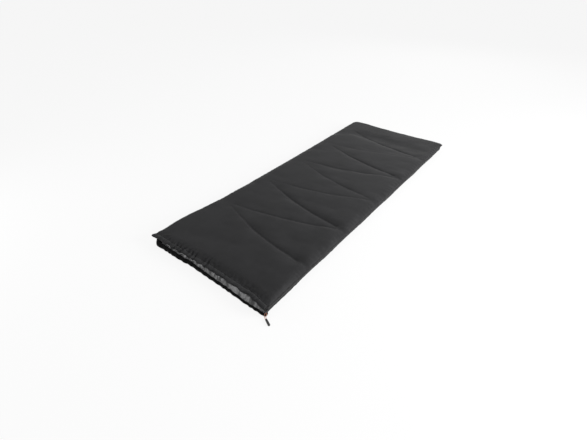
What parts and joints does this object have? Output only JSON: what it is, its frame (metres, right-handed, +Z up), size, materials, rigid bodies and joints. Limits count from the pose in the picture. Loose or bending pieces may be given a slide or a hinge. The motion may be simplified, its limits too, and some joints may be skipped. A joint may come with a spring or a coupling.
{
  "type": "sleeping bag",
  "caption": "Rectangular sleeping bag lying flat, with a zigzag-quilted charcoal shell, grey lining, a zip along the side and foot with a corded pull, and a top that folds open.",
  "frame": {"origin": "on the floor, under the middle of the bag's length and width", "axes": "+Y from the mouth to the foot, +X toward the zipped side, +Z up from the floor"},
  "size_m": [0.8028, 2.026, 0.066],
  "materials": {
    "shell_cloth": "satin",
    "lining_cloth": "satin",
    "hem_cloth": "satin",
    "wadding": "matte",
    "zip_tape": "matte",
    "zip_plastic": "satin",
    "slider_metal": "satin",
    "spring_steel": "satin",
    "cord_orange": "matte",
    "grip_rubber": "matte"
  },
  "bodies": {
    "under_quilt": {"under_shell": "shell_cloth", "under_fill": "wadding", "under_lining": "lining_cloth", "under_mouth_hem": "hem_cloth", "side_fold": "shell_cloth", "lower_zip_tape": "zip_tape", "lower_zip_teeth": "zip_plastic", "lower_mouth_stop": "zip_plastic", "lower_foot_stop": "zip_plastic"},
    "top_quilt": {"top_shell": "shell_cloth", "top_fill": "wadding", "top_lining": "lining_cloth", "top_mouth_hem": "shell_cloth", "upper_zip_tape": "zip_tape", "upper_zip_teeth": "zip_plastic", "upper_mouth_stop": "zip_plastic", "upper_foot_stop": "zip_plastic"},
    "slider": {"slider_body": "slider_metal", "slider_cap": "slider_metal", "lock_spring": "spring_steel"},
    "tab": {"pull_tab": "slider_metal"},
    "pull": {"pull_cord": "cord_orange", "cord_grip": "grip_rubber"}
  },
  "joints": [
    {"name": "cover_fold", "type": "hinge", "parent": "under_quilt", "child": "top_quilt", "pos_m": [-0.3753, 0, 0.033], "axis": [0, -1, 0], "range_deg": [0, 180]},
    {"name": "zip_slide", "type": "slide", "parent": "under_quilt", "child": "slider", "axis": [0, 1, 0], "range_m": [0, 1.94], "deforming": ["lower_zip_teeth", "upper_zip_teeth"]},
    {"name": "tab_swing", "type": "hinge", "parent": "slider", "child": "tab", "pos_m": [0.37975, -0.9837, 0.033], "axis": [0, 0, 1], "range_deg": [-4, 130]},
    {"name": "cord_swing", "type": "hinge", "parent": "tab", "child": "pull", "pos_m": [0.38253, -0.99946, 0.033], "axis": [-0.9848, -0.1736, 0], "range_deg": [0, 100]}
  ]
}
